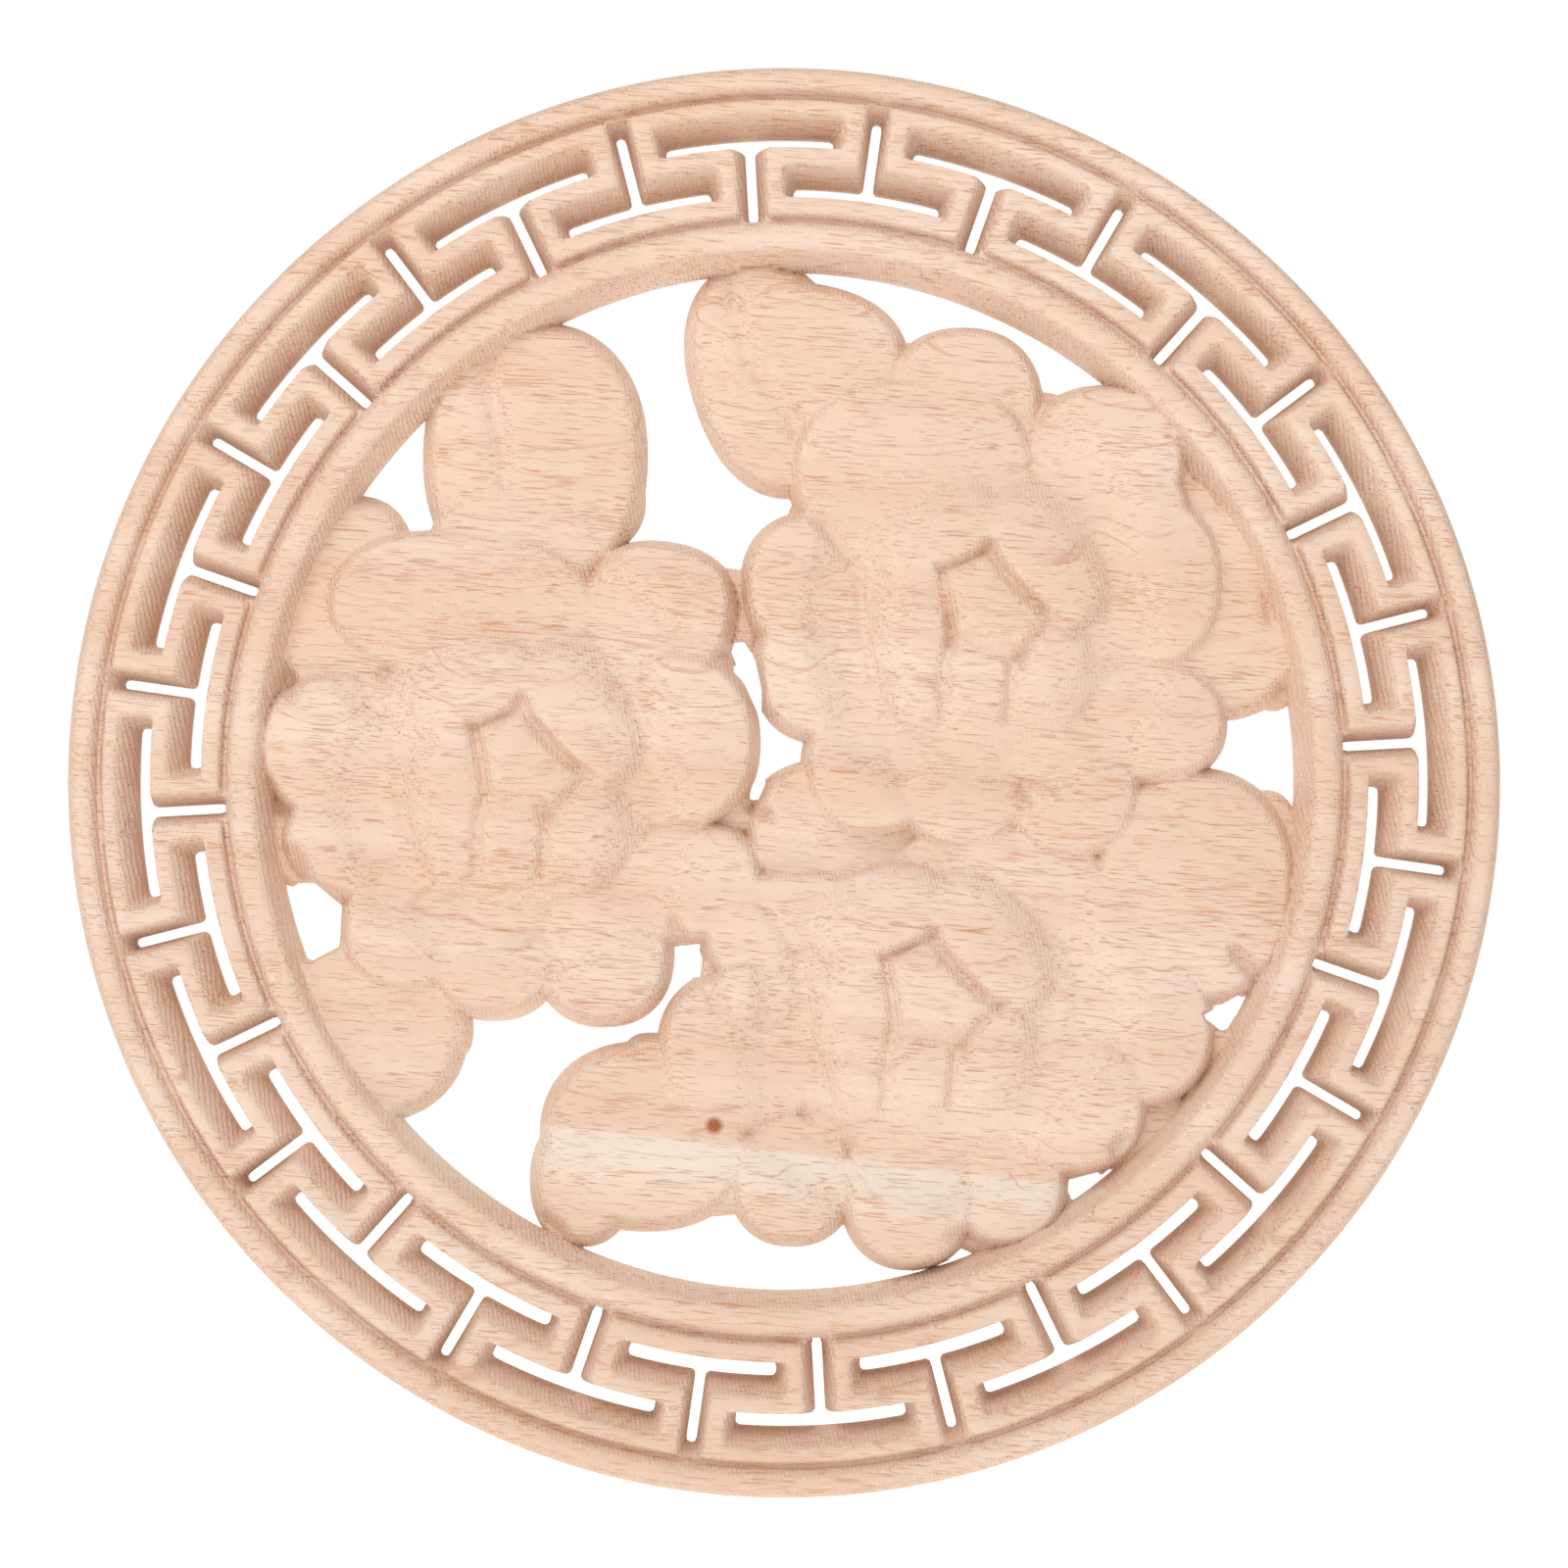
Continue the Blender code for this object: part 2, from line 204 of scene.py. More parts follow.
# points with heights, and the lines between some of them that the triangles keep to
class PointSet:
    def __init__(self):
        self.points, self.heights, self.lines, self.seen = [], [], [], {}

    def add(self, point, height):
        key = (round(float(point[0]), 4), round(float(point[1]), 4))
        if key not in self.seen:
            self.seen[key] = len(self.points)
            self.points.append(key)
            self.heights.append(float(height))
        return self.seen[key]

    def path(self, points, heights):
        ids = [self.add(p, h) for p, h in zip(points, heights)]
        self.lines += [(a, b) for a, b in zip(ids, ids[1:]) if a != b]

    def triangles(self):
        flat = [Vector(p) for p in self.points]
        verts, _, faces, origin, *_ = delaunay_2d_cdt(flat, self.lines, [], 0, 1e-5)
        assert all(origin), "a line crossed another"
        height = [self.heights[o[0]] for o in origin]
        return np.array([(v.x, v.y, h) for v, h in zip(verts, height)]), [tuple(f) for f in faces]


def meshFrom(bm, name):
    data = bpy.data.meshes.new(name)
    bm.to_mesh(data)
    bm.free()
    return data


# the outlines of one whole outward slot and of half an inward slot on each side, at each level
def slotPaths():
    halfPitch = math.pi / ringSizes["repeats"]
    paths, crossings = [], {-1: [], 1: []}
    for level in ringMesh["bankLevels"]:
        height = bankHeight(level)
        half = halfOutline(outwardSlot, level)
        paths.append((np.concatenate([half, (half * (1, -1))[::-1][1:]]), height))
        half = halfOutline(inwardSlot, level)
        for side in (-1, 1):
            path = turned(half * (1, -side), side * halfPitch)
            paths.append((path, height))
            crossings[side] += [(float(np.hypot(*path[0])), height), (float(np.hypot(*path[-1])), height)]
    return paths, crossings


# the two straight borders of the repeat, inside and outside the half slot that they cut
def addBorders(sheet, crossings):
    s, m = ringSizes, ringMesh
    halfPitch = math.pi / s["repeats"]
    innerGap, outerGap = m["borderGap"]
    for side in (-1, 1):
        marks = sorted(crossings[side])
        inner = [mark for mark in marks if mark[0] < m["middleRadius"]]
        outer = [mark for mark in marks if mark[0] > m["middleRadius"]]
        inside = np.linspace(s["joinRadius"], inner[0][0] - innerGap, m["borderSteps"])
        outside = np.linspace(outer[-1][0] + outerGap, discRadius, m["borderSteps"])
        innerRun = [(r, ringHeight(r)) for r in inside] + inner
        outerRun = outer + [(r, ringHeight(r)) for r in outside]
        for run in (innerRun, outerRun):
            points = [(r * math.cos(side * halfPitch), r * math.sin(side * halfPitch)) for r, _ in run]
            sheet.path(points, [min(h, ringHeight(r)) for r, h in run])


# free points on the mouldings and on the ridges between the slots
def addRows(sheet, onPaths):
    m = ringMesh
    halfPitch = math.pi / ringSizes["repeats"]
    for row, radius in enumerate([*m["mouldingRows"], *np.arange(*m["ridgeRows"])]):
        count = int(2 * halfPitch * radius / m["rowSpacing"])
        for k in range(1, count):
            angle = -halfPitch + 2 * halfPitch * (k + 0.5 * (row % 2)) / count
            if abs(angle) > halfPitch - m["borderClearance"] / radius:
                continue
            point = np.array((radius * math.cos(angle), radius * math.sin(angle)))
            if nearestSlot(radius, angle) < 1.0 or np.hypot(*(onPaths - point).T).min() < m["slotClearance"]:
                continue
            sheet.add(point, ringHeight(radius))


def ringRepeat():
    s = ringSizes
    halfPitch = math.pi / s["repeats"]
    sheet = PointSet()
    paths, crossings = slotPaths()
    for path, height in paths:
        sheet.path(path, [min(height, ringHeight(np.hypot(*p))) for p in path])
    addBorders(sheet, crossings)
    joint = np.linspace(-halfPitch, halfPitch, ringMesh["stepsPerRepeat"] + 1)
    sheet.path(onArc(s["joinRadius"], joint), [ringHeight(s["joinRadius"])] * len(joint))
    rim = np.linspace(-halfPitch, halfPitch, ringMesh["rimSteps"] + 1)
    sheet.path(onArc(discRadius, rim), [s["edgeHeight"]] * len(rim))
    addRows(sheet, np.concatenate([path for path, _ in paths]))
    verts, faces = sheet.triangles()
    mesh = bmesh.new()
    made = [mesh.verts.new(v * mm) for v in verts]
    for face in faces:
        x, y = verts[list(face), :2].mean(0)
        radius, angle = math.hypot(x, y), math.atan2(y, x)
        inSector = radius > s["joinRadius"] * 0.99999 and abs(angle) < halfPitch - 1e-4
        if inSector and nearestSlot(radius, angle) > 0:
            mesh.faces.new([made[i] for i in face])
    bmesh.ops.delete(mesh, geom=[v for v in mesh.verts if not v.link_faces], context="VERTS")
    addWalls(mesh, halfPitch)
    return meshFrom(mesh, "ringRepeat")


# walls down to the back from the rim and the sawn slots, not from the joints
def addWalls(mesh, halfPitch):
    walls = []
    for edge in mesh.edges:
        if len(edge.link_faces) != 1:
            continue
        radii = [math.hypot(v.co.x, v.co.y) / mm for v in edge.verts]
        angles = [abs(math.atan2(v.co.y, v.co.x)) for v in edge.verts]
        if max(radii) >= ringSizes["joinRadius"] + 0.05 and min(angles) <= halfPitch - 1e-5:
            walls.append(edge)
    for made in bmesh.ops.extrude_edge_only(mesh, edges=walls)["geom"]:
        if isinstance(made, bmesh.types.BMVert):
            made.co.z = 0


# the panel of flowers and leaves, a field of heights on a grid
panelGrid = {
    "step": 0.4,
    "half": 116.0,
    "void": -6.0,
    "fineBend": 0.16,  # bend over one step from which every point is kept
    "middleBend": 0.02,  # from which every second one is, and else every fourth
    "wallKeep": (0.5, 1.5),  # above the void and up to this height every point is kept
    "rimClearance": 0.2,
    "circles": (106.7, 107.25, 107.7, 108.2, 108.7, 109.2, 109.7, 109.95, 110.3, 111.0, 111.9, 112.9),
    "circlePoints": (1080, 1080, 1080, 900, 720, 600, 600, 600, 600, 600, 600, 600),
}
# every form: centre across and up, half length, half width, turn, height of its crown
leaves = {
    "topLeft": (-52.8, 68, 23.8, 28.8, 0, 7.4),
    "topBlade": (-2.3, 84.8, 26, 17.8, 107, 6.6),
    "topWing": (5.5, 89.5, 20.8, 15.6, -12, 8.4),
    "farLeft": (-92.6, 37, 23, 14, 78, 6.0),
    "lowLeft": (-90, -53, 23.5, 20, 0, 6.8),
    "bottom": (-29, -75.3, 22.5, 20, 0, 7.8),
    "bottomTip": (-42.5, -84.5, 11, 14, 0, 6.4),
    "farRight": (90.5, 35.2, 21, 23.2, 0, 6.8),
    "right": (86, -23, 22, 25.3, 0, 8.2),
}
leftPetals = {
    "back": (-57, 48, 18.5, 14.5, 0, 8.4),
    "topLeft": (-68, 36, 29, 16.5, -3, 10.4),
    "topRight": (-26.5, 35.2, 17, 15, -8, 9.8),
    "right": (-24.5, 7.5, 19.4, 19.5, 0, 10.4),
    "left": (-92.2, 6.2, 19, 16.6, 0, 9.8),
    "lowLeft": (-91.5, -13.5, 14.5, 12.3, -20, 9.8),
    "lowFar": (-79.5, -31.5, 14, 14.3, 0, 9.6),
    "lowMiddle": (-61, -36, 14.5, 15.2, 0, 9.2),
    "lowNear": (-38, -37, 14.8, 15.5, 0, 9.8),
    "lowRight": (-22, -22, 18, 13.4, 8, 8.8),
}
rightPetals = {
    "top": (37.8, 78.6, 17, 17.2, 0, 8.8),
    "rightJoin": (73, 57, 13, 9, 0, 9.6),
    "topRight": (67.8, 67.5, 17.4, 16, 0, 9.4),
    "topLeft": (27, 64.5, 26.5, 20.5, 0, 10.2),
    "left": (6, 40.5, 15.5, 16, 0, 9.6),
    "lowLeft": (7.6, 23.2, 14.5, 16, 0, 9.8),
    "right": (75, 41, 18, 19.5, 0, 10.2),
    "lowRight": (76, 11.5, 17.5, 13.5, 0, 9.6),
    "lowFar": (18, 2, 14.8, 15.2, 0, 9.9),
    "lowMiddle": (37, 0, 14.8, 16.2, 0, 9.6),
    "lowNear": (60, -1, 15.2, 16.7, 0, 10.0),
}
lowerPetals = {
    "back": (9, -11.4, 17.5, 15.4, 0, 7.2),
    "top": (44, -23, 24.5, 14.5, 0, 7.8),
    "topLeft": (4, -33, 22, 14, 0, 8.6),
    "curl": (-6, -46, 10.5, 8.5, -8, 10.4),
    "left": (-8.7, -57.4, 18.3, 17.6, 0, 9.8),
    "lowLeft": (1.5, -84, 13.5, 14.5, 0, 9.0),
    "lowMiddle": (26, -86, 14.8, 17.4, 0, 9.4),
    "lowRight": (46, -85, 13.5, 14, 0, 8.4),
    "rightLow": (60, -68.3, 16.3, 15.3, 0, 10.0),
    "right": (72, -53, 18.7, 17, 0, 9.2),
    "rightTop": (64, -35, 18.3, 15.4, 0, 8.4),
}
# the body of each flower under its petals
bodies = {
    "left": (-57, 2, 34, 34, 0, 8.4),
    "right": (41, 35, 34, 34, 0, 8.4),
    "lower": (31, -50, 35, 33, 0, 8.0),
}
# low wood that joins flowers, leaves and ring
beds = {
    "leftFlower": (-58, 1, 49, 43, 0, 4.2),
    "rightFlower": (43, 36, 46, 44, 0, 4.2),
    "lowerFlower": (30, -51, 50, 44, 0, 4.2),
    "cleft": (-12, 34, 7, 10.4, 0, 2.6),
    "centreLow": (-9.5, -7.5, 7, 5, 0, 3.6),
    "rightLowSide": (92, -56, 5, 7, 0, 3.6),
    "leftSide": (-103, 4, 8, 27, 0, 3.6),
    "upperLeft": (-51.6, 58.5, 22.2, 14, 0, 5.0),
    "upperLeftNotch": (-79, 46, 9, 6.2, 0, 3.6),
    "topNotch": (25, 86.5, 8, 6, 0, 4.0),
    "topRightNotch": (54, 74, 8, 8, 0, 4.0),
    "upperRight": (90, 61, 11, 11, 0, 3.6),
    "rightSide": (103, 33, 8, 18.8, 0, 3.6),
    "lowerRightSide": (101.5, -22.5, 9, 20, 0, 3.6),
    "lowRightCorner": (77, -75.5, 10, 11, 0, 3.6),
    "lowCorner": (47, -92, 14, 9, 0, 3.6),
    "bottomNotch": (-17, -84.5, 17, 7.6, 0, 5.0),
    "lowLeftJoin": (-28, -57, 5.5, 3.4, 0, 5.0),
    "lowLeftCorner": (-69, -53, 3.6, 6, 0, 4.5),
    "slitSide": (-14.2, 22.5, 3.4, 5.5, 0, 5.0),
}
heart = {
    "centres": {"left": (-56.5, 0), "right": (41, 33), "lower": (29, -48)},
    "mound": (25.5, 27.5, 10.2),  # half width, half height, top of the low mound that carries it
    "moundEdge": 12.0,
    "moundFoot": 6.6,
    # from the heart's middle
    "petals": {
        "upperLeft": (-9, 17.5, 15.5, 11.5, 20, 12.4),
        "upperRight": (13.5, 13, 17.5, 10.5, -52, 12.6),
        "left": (-15, -2.5, 9.5, 13, 0, 11.8),
        "lowLeft": (-13.5, -16.5, 8.5, 8.5, 0, 11.2),
        "lowMiddle": (-1, -15.5, 9.5, 11, 0, 11.9),
        "lowRight": (14.5, -11.5, 9.5, 12, -20, 11.7),
    },
    "petalEdge": 3.2,
    "softEdge": 7.5,
    "petalFoot": 7.4,
    "outward": {"upper": 2.4, "low": 2.0},  # how much the upper and the other petals fall away from the bud
    "fallBand": (0.6, -1.0),
    "bud": ((1.5, 15), (-9, 10.5), (-6.3, -5.3), (8.2, -9), (16, -0.3)),
    "budFloor": 9.7,
    "budTop": 12.2,
    "budSeam": 0.5,
    "budGroove": 0.7,
    "budRise": 4.5,
    "budReach": 18.0,
}
formShape = {
    "fullness": 2.25,  # 2 is an ellipse, more is squarer
    "petalEdge": 3.2,
    "leafEdge": 4.0,
    "bodyEdge": 9.0,
    "bedEdge": 2.6,
    "fall": 2.6,  # how much a petal falls towards its heart
    "fallBand": (0.3, -0.3),
    "hubSide": (0.5, 0.7),
    "steepness": 2.6,
    "dome": 1.8,
    "softenTimes": 3,
    "softenFrom": (3.0, 1.5),
}
# small gaps sawn right through, by their corners
gaps = {
    "leftSide": (
        (-104.5, -24.5), (-103.3, -31), (-100.6, -38), (-99.2, -38.4),
        (-93.7, -35.5), (-93.2, -27), (-99, -22.2), (-102.5, -22.3),
    ),
    "lowRight": ((59.6, -84.5), (59.4, -87), (60.5, -88.5), (66.6, -83.8), (65.7, -82.9)),
    "rightSide": ((88.2, -49.9), (88.6, -50.8), (91.8, -53.2), (93.2, -52.8), (96.6, -46.6), (95.4, -45.8)),
    "slitTop": (
        (-11.3, 26.6), (-8.6, 20), (-5.5, 13.2), (-5, 13),
        (-4.9, 18.5), (-6.3, 25), (-8.6, 28.8), (-10.6, 28.6),
    ),
    "lowSlit": ((-23.2, -36.5), (-22.6, -42), (-17.8, -42), (-17.4, -38), (-18.2, -35.8), (-22, -35.3)),
    "slitFoot": ((-7.5, -4.5), (-5.6, -4.6), (-4, -1), (-5.6, 1), (-7, -2)),
}
gapShape = {"reach": 14.0, "steepness": 8.0}
# lines and pits cut into the carving: depth, width, then the points they run through
creases = {
    "leftHeartTop": (0.9, 1.3, (-78, 38), (-72, 35), (-66, 32.5), (-55, 30), (-45, 28.5), (-38, 28.2),
                     (-29, 29), (-20, 27.5), (-13, 26)),
    "leftRightFold": (0.6, 1.2, (-33, -0.5), (-28, 2), (-22, 3), (-16, 2.2), (-9, 1)),
    "leftLeftFold": (0.8, 2.0, (-96, 22), (-90, 17), (-83, 9)),
    "leftLowLip": (0.6, 1.1, (-93, -36), (-80, -35.5), (-70, -37), (-60, -38), (-49, -40)),
    "leftNearLip": (0.6, 1.1, (-48, -40), (-44, -37.8), (-38, -37), (-30, -38), (-25, -38)),
    "leftTopLip": (0.6, 1.1, (-41, 45), (-34, 46.3), (-28, 45.6), (-20, 43), (-14, 40.5)),
    "topLeftMidrib": (1.5, 2.0, (-62, 92), (-62.5, 85), (-61.5, 78), (-59.5, 70), (-59, 62)),
    "rightTopFold": (0.5, 1.2, (5, 57), (8, 52), (14, 45), (17, 41)),
    "leftPitTop": (1.6, 1.0, (-55.8, 15.6), (-55, 17)),
    "leftPitSide": (1.4, 1.0, (-66, 10.5), (-64.5, 7)),
    "leftPitLow": (1.3, 1.0, (-51.5, -6.5), (-50, -8.5)),
    "rightPitTop": (1.6, 1.0, (41.6, 47), (42.8, 48.6)),
    "rightSlot": (1.7, 0.9, (34.3, 33.5), (34.6, 27.5)),
    "rightPitLow": (1.8, 1.1, (49.2, 25.8), (49.6, 23.4)),
    "lowPitTop": (1.5, 1.0, (30.6, -34), (31.6, -32.6)),
    "lowPitRight": (1.5, 1.0, (44.6, -48.6), (46.4, -47.6)),
    "lowPit": (1.4, 0.9, (37.4, -56), (37.8, -58.5)),
    "curlUnder": (1.2, 0.9, (-17, -43), (-15, -48), (-11, -51), (-4, -52.4), (3, -50.5)),
    "bottomMidrib": (0.6, 1.6, (-48, -93), (-40, -80), (-30, -70), (-22, -64)),
    "topBladeFold": (1.5, 1.8, (-12, 107), (-10.5, 98), (-8, 89), (-3, 81.5), (1, 77), (2.5, 72)),
    "leftPocketHigh": (2.5, 1.6, (-104.5, 21), (-103.5, 16.5)),
    "leftPocketMiddle": (2.6, 1.3, (-108.6, -1.5), (-106, -7)),
    "leftPocketLow": (3.0, 1.7, (-103, -16), (-101, -20)),
    "centreGroove": (2.6, 1.3, (-10.6, 43), (-10.4, 36), (-11.2, 29)),
    "centreLowPocket": (2.8, 1.3, (-5, -3.5), (-7, -6.5), (-4, -8)),
    "lowLeftPocket": (2.8, 1.3, (-23.5, -30.5), (-22, -33.5)),
    "upperRightPocket": (3.4, 1.8, (86.5, 67.5), (88.5, 64)),
    "rightPocketHigh": (1.8, 1.6, (101.5, 39), (102.5, 33)),
    "rightPocketLow": (2.0, 1.5, (105, 19), (103.5, 15)),
    "lowRightPocket": (3.0, 1.5, (94.5, -37), (98, -41), (101, -43.5)),
    "lowPocket": (3.0, 1.5, (71, -76), (69, -78)),
    "bottomPocket": (2.2, 1.6, (-50, -92.5), (-47, -95)),
    "lowEdgePocket": (2.0, 1.4, (35, -96), (38, -95)),
    "topPocket": (1.6, 1.2, (-1, 108), (2.5, 107.5)),
    "lowLeftMidrib": (0.6, 1.6, (-98, -62), (-88, -55), (-80, -47)),
    "rightMidrib": (0.6, 1.6, (80, -8), (92, -14), (103, -18)),
}
# the same in every heart, from its middle
heartLines = {
    "lip": (1.5, 0.8, (-9, 10.5), (-4, 12), (0, 14), (1.6, 15.6)),
    "leftLip": (0.5, 1.2, (-21, 12), (-15, 11), (-9, 10.5)),
    "rightLip": (1.2, 0.8, (1.8, 15.4), (5.5, 8.5), (10.5, 3.5), (16, 0.4)),
    "rightLow": (0.6, 0.9, (16, 0.4), (12, -4), (8.2, -9)),
    "budSide": (1.1, 0.7, (-8.5, 10), (-7, 3), (-6.3, -5.5)),
    "leftArch": (1.0, 0.8, (-21.5, -13), (-15.5, -10.8), (-9.5, -14)),
    "lowArch": (0.9, 0.8, (-9.5, -14), (-5.5, -11.5), (0.5, -12), (5, -13)),
    "middleArch": (0.9, 0.8, (-6.5, -4.5), (-0.5, -3.8), (5.5, -5.2), (8, -9)),
    "lowSlot": (1.2, 0.8, (6.5, -9), (5.8, -15), (5.5, -21)),
    "leftSlot": (0.9, 0.9, (-7, -6), (-8, -14), (-8.5, -21)),
    "leftSeam": (0.7, 0.9, (-23, -2), (-16, -3.5), (-9, -3)),
    "leftFold": (1.1, 1.3, (-33, 20.5), (-25.5, 9.5), (-24.5, -4), (-21.5, -16), (-18.5, -22)),
}
creaseShape = {"reach": 4.0, "leastWood": 1.6, "fullDepthOver": 1.5}

gridSide = np.arange(-panelGrid["half"], panelGrid["half"] + 1e-6, panelGrid["step"])
gridAcross, gridUp = np.meshgrid(gridSide, gridSide)


# the part of the grid within reach of a point
def window(x, y, reach):
    step, half = panelGrid["step"], panelGrid["half"]
    lowColumn, highColumn = int((x - reach + half) / step), int((x + reach + half) / step) + 2
    lowRow, highRow = int((y - reach + half) / step), int((y + reach + half) / step) + 2
    return slice(max(lowRow, 0), highRow), slice(max(lowColumn, 0), highColumn)


# how far inside an oval's outline each point lies, and its share of the way out from the middle
def ovalInside(form, across, up):
    x, y, a, b, turn = form[:5]
    c, s = math.cos(math.radians(turn)), math.sin(math.radians(turn))
    u = (across - x) * c + (up - y) * s
    v = -(across - x) * s + (up - y) * c
    power = formShape["fullness"]
    share = (np.abs(u / a) ** power + np.abs(v / b) ** power) ** (1 / power)
    reach = np.where(share > 0.01, np.hypot(u, v) / np.maximum(share, 0.01), min(a, b))
    return reach * (1 - share), np.minimum(share, 1)


# how far inside a run of corners, given anticlockwise, each point lies
def cornersInside(corners, across, up):
    inside = np.full(across.shape, 99.0)
    for (ax, ay), (bx, by) in zip(corners, np.roll(corners, -1, axis=0)):
        side = ((bx - ax) * (up - ay) - (by - ay) * (across - ax)) / math.hypot(bx - ax, by - ay)
        inside = np.minimum(inside, side)
    return inside


# raises the carving to one rounded form; hub is the point that the form's top falls towards,
# over a band of the way across it, and softEdge is the edge's width on the side of the hub
def carve(heights, form, edge, foot=0.0, hub=None, fall=0.0, band=formShape["fallBand"], softEdge=None):
    x, y, a, b, _, crown = form
    where = window(x, y, a + b)
    across, up = gridAcross[where], gridUp[where]
    inside, share = ovalInside(form, across, up)
    along = np.zeros(across.shape)
    if hub is not None:
        away = np.hypot(x - hub[0], y - hub[1])
        along = ((across - x) * (x - hub[0]) + (up - y) * (y - hub[1])) / away / ((a + b) / 2)
    if softEdge is not None:
        middle, gain = formShape["hubSide"]
        edge = edge + (softEdge - edge) * np.clip(middle - gain * along, 0, 1)
    rise = np.clip(inside / edge, -1, 1)
    steep = formShape["steepness"]
    swell = np.where(rise > 0, 1 - (1 - np.abs(rise)) ** steep, steep * rise)
    top = crown - formShape["dome"] * share ** 2
    t = np.clip((band[0] - along) / (band[0] - band[1]), 0, 1)
    top = top - fall * t * t * (3 - 2 * t)
    made = np.where(inside > 0, foot + (top - foot) * swell, panelGrid["void"]) if foot else top * swell
    heights[where] = np.maximum(heights[where], np.maximum(made, panelGrid["void"]))


def carveBud(heights, centre):
    corners = np.array(heart["bud"]) + centre
    where = window(*corners.mean(0), heart["budReach"])
    inside = cornersInside(corners, gridAcross[where], gridUp[where])
    rise = 1 - (1 - np.clip((inside - heart["budGroove"]) / heart["budRise"], 0, 1)) ** 2
    bud = heart["budFloor"] + (heart["budTop"] - heart["budFloor"]) * rise
    part = np.clip(inside / heart["budSeam"], 0, 1)
    heights[where] = heights[where] * (1 - part) + bud * part


def carveHeart(heights, hub):
    a, b, crown = heart["mound"]
    carve(heights, (*hub, a, b, 0, crown), heart["moundEdge"], foot=heart["moundFoot"])
    middle = np.array(heart["bud"]).mean(0)
    for name, (x, y, *rest) in heart["petals"].items():
        beyond = (hub[0] + 2 * x - middle[0], hub[1] + 2 * y - middle[1])
        fall = heart["outward"]["upper" if name.startswith("upper") else "low"]
        carve(heights, (hub[0] + x, hub[1] + y, *rest), heart["petalEdge"], foot=heart["petalFoot"],
              hub=beyond, fall=fall, band=heart["fallBand"], softEdge=heart["softEdge"])
    carveBud(heights, hub)
    for line in heartLines.values():
        crease(heights, *line, hub=hub)


def crease(heights, depth, width, *path, hub=(0, 0)):
    marks = np.array(path, float) + hub
    middle = marks.mean(0)
    where = window(*middle, np.abs(marks - middle).max() + creaseShape["reach"] * width)
    across, up = gridAcross[where], gridUp[where]
    nearest = np.full(across.shape, 99.0)
    for (ax, ay), (bx, by) in zip(marks, marks[1:]):
        length = math.hypot(bx - ax, by - ay)
        along = np.clip(((across - ax) * (bx - ax) + (up - ay) * (by - ay)) / length ** 2, 0, 1)
        nearest = np.minimum(nearest, np.hypot(across - ax - along * (bx - ax), up - ay - along * (by - ay)))
    firm = np.clip((heights[where] - creaseShape["leastWood"]) / creaseShape["fullDepthOver"], 0, 1)
    heights[where] -= depth * firm * np.exp(-((nearest / width) ** 2))


def pierce(heights, corners):
    corners = np.array(corners, float)
    where = window(*corners.mean(0), gapShape["reach"])
    inside = cornersInside(corners, gridAcross[where], gridUp[where])
    cut = np.minimum(heights[where], -gapShape["steepness"] * inside)
    heights[where] = np.maximum(cut, panelGrid["void"])


# eases every edge a little, as the round cutter does, but not the outlines
def softened(heights):
    soft = heights
    for _ in range(formShape["softenTimes"]):
        for axis in (0, 1):
            soft = (np.roll(soft, 1, axis) + 2 * soft + np.roll(soft, -1, axis)) / 4
    least, over = formShape["softenFrom"]
    firm = np.clip((heights - least) / over, 0, 1)
    return heights * (1 - firm) + soft * firm


def panelHeights():
    shape = formShape
    heights = np.full(gridAcross.shape, panelGrid["void"])
    for forms, edge in ((beds, shape["bedEdge"]), (leaves, shape["leafEdge"]), (bodies, shape["bodyEdge"])):
        for form in forms.values():
            carve(heights, form, edge)
    for name, petals in (("left", leftPetals), ("right", rightPetals), ("lower", lowerPetals)):
        for form in petals.values():
            carve(heights, form, shape["petalEdge"], hub=heart["centres"][name], fall=shape["fall"])
    for hub in heart["centres"].values():
        carveHeart(heights, hub)
    for line in creases.values():
        crease(heights, *line)
    heights = softened(heights)
    for corners in gaps.values():
        pierce(heights, corners)
    return heights


# height of the carving between the points of its grid, with the ring's own slope
def heightAt(heights, points):
    place = (points + panelGrid["half"]) / panelGrid["step"]
    column, row = place.astype(int).T
    u, v = (place - place.astype(int)).T
    low = heights[row, column] * (1 - u) + heights[row, column + 1] * u
    high = heights[row + 1, column] * (1 - u) + heights[row + 1, column + 1] * u
    return np.maximum(low * (1 - v) + high * v, ringHeight(np.hypot(*points.T)))


# how much the height turns from one grid point to the next
def bend(heights):
    both = [np.abs(np.roll(heights, 1, axis) + np.roll(heights, -1, axis) - 2 * heights) for axis in (0, 1)]
    return np.where(heights > 0.5, np.maximum(*both), 0)


# the grid points that the mesh keeps: few where it is flat, all where it bends sharply
def keptPoints(heights):
    grid = panelGrid
    turn = bend(heights)
    row, column = np.indices(heights.shape)
    fourth, second = ((row % n == 0) & (column % n == 0) for n in (4, 2))
    aboveVoid, below = grid["wallKeep"]
    keep = (fourth & (heights > 0)) | (second & (turn > grid["middleBend"])) | (turn > grid["fineBend"])
    keep |= (heights < below) & (heights > grid["void"] + aboveVoid)
    return keep & (np.hypot(gridAcross, gridUp) < grid["circles"][0] - grid["rimClearance"])


